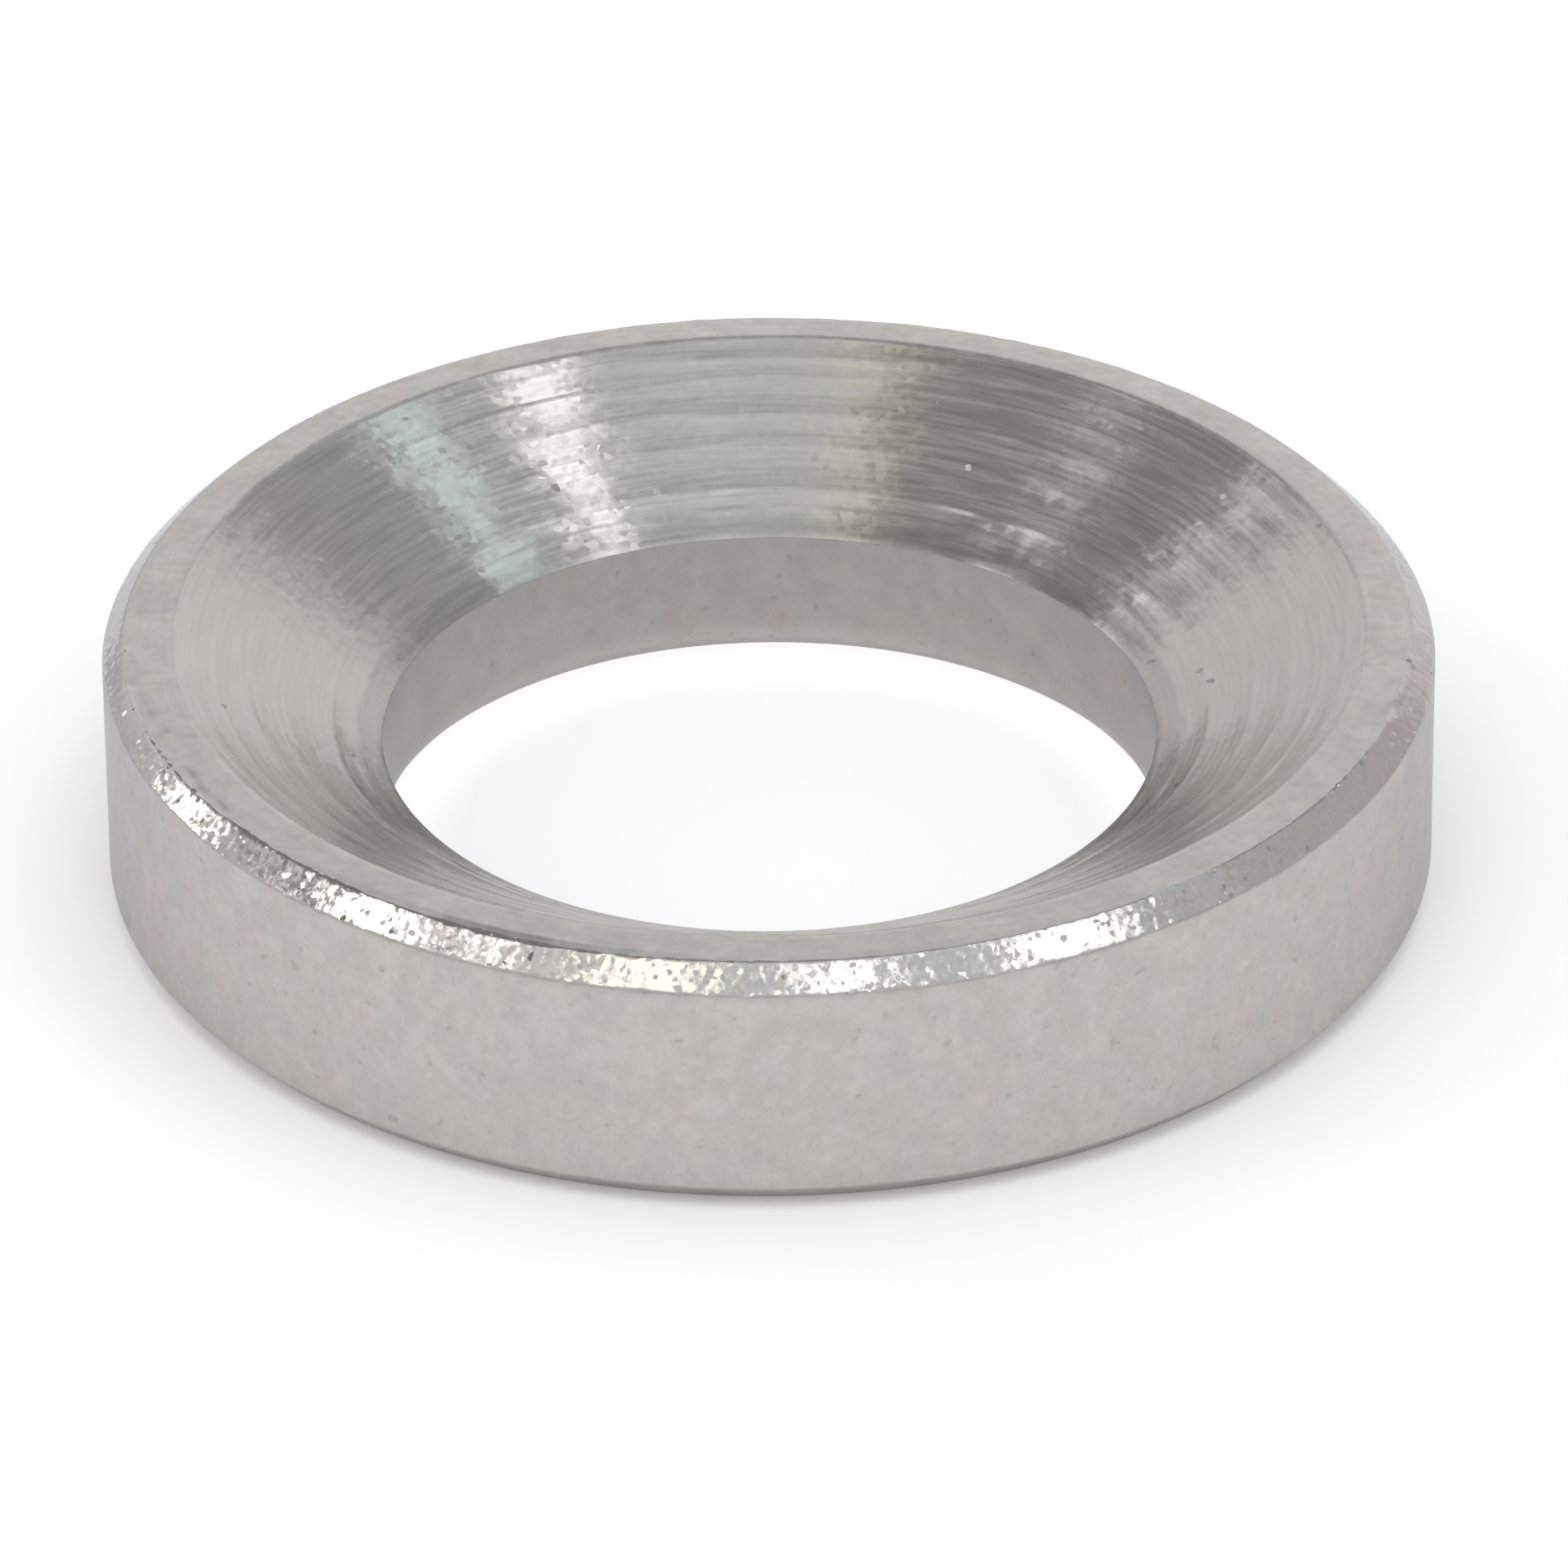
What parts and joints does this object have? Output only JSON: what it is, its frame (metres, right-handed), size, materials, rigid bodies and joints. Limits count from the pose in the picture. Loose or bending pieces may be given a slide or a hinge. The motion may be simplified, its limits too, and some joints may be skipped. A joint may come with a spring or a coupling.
{
  "type": "conical seat washer",
  "caption": "Turned steel ring with a flat foot, a plain bore and a shallow conical dish on top: the lower half of a spherical washer pair, which levels a nut on a slanted face.",
  "frame": {"origin": "centre of the flat foot, on the ring's axis", "axes": "+Z along the ring's axis, from the foot to the conical dish"},
  "size_m": [0.021, 0.021, 0.0042],
  "materials": {
    "turned_steel": "bare turned steel: matte wall, turned rings in the dish, bright grainy rim chamfer"
  },
  "bodies": {
    "root": {"conical_seat": "turned_steel"}
  },
  "joints": []
}
